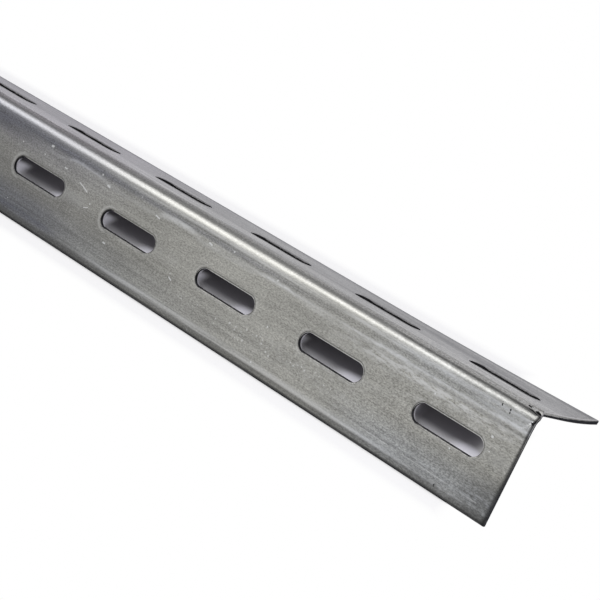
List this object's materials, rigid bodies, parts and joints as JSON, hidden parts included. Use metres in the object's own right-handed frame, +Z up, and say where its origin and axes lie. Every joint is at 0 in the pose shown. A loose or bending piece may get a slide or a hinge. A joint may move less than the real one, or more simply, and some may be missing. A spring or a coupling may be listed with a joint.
{
  "type": "slotted angle",
  "caption": "Bent steel angle with two equal legs and a row of long round-ended slots in each leg, for bolting up frames and brackets.",
  "frame": {"origin": "centre of the footprint, on the floor: half way along the length, under the bend, at the height of the two long edges that the piece rests on", "axes": "+X along the length to the end that the slots are measured from, +Z up through the bend, the front leg slopes down towards -Y and the back leg towards +Y, both at 45 degrees"},
  "size_m": [1, 0.0492, 0.0241],
  "materials": {
    "bare_steel": "uncoated cold rolled sheet, satin, with streaks and light scratches along its length"
  },
  "bodies": {
    "root": {"slotted_angle": "bare_steel"}
  },
  "joints": []
}
